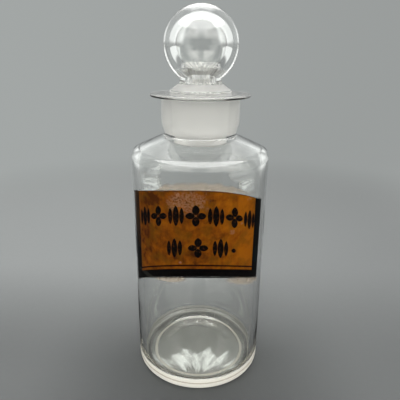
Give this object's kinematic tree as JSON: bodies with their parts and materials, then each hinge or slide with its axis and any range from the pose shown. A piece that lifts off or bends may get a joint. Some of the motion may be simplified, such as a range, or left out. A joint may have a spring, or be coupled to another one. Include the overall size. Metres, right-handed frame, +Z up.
{
  "type": "apothecary bottle",
  "caption": "Tall clear glass shop round with a hollow ball stopper ground into its neck, a wide flanged lip and a recessed gilt label under glass, for holding dry or liquid drugs.",
  "frame": {"origin": "centre of the base, on the plane that the bottle stands on", "axes": "+Z up along the bottle's axis, the label faces -Y, +X to the right of someone who faces the label"},
  "size_m": [0.084, 0.084, 0.2287],
  "materials": {
    "body_glass": "clear blown glass, polished, ground inside the neck",
    "stopper_glass": "clear blown glass, fine ground on the shank",
    "label_cover_glass": "thin curved clear glass",
    "gold_leaf": "aged amber gold leaf with darker patches",
    "black_japan": "black japan varnish",
    "putty": "dull oil putty"
  },
  "bodies": {
    "vessel": {"bottle_body": "body_glass", "label_glass": "label_cover_glass", "label_foil": "gold_leaf", "label_backing": "black_japan", "label_cement": "putty"},
    "stopper": {"stopper": "stopper_glass"}
  },
  "joints": [
    {"name": "stopper_lift", "type": "slide", "parent": "vessel", "child": "stopper", "axis": [0, 0, 1], "range_m": [0, 0.085]}
  ]
}
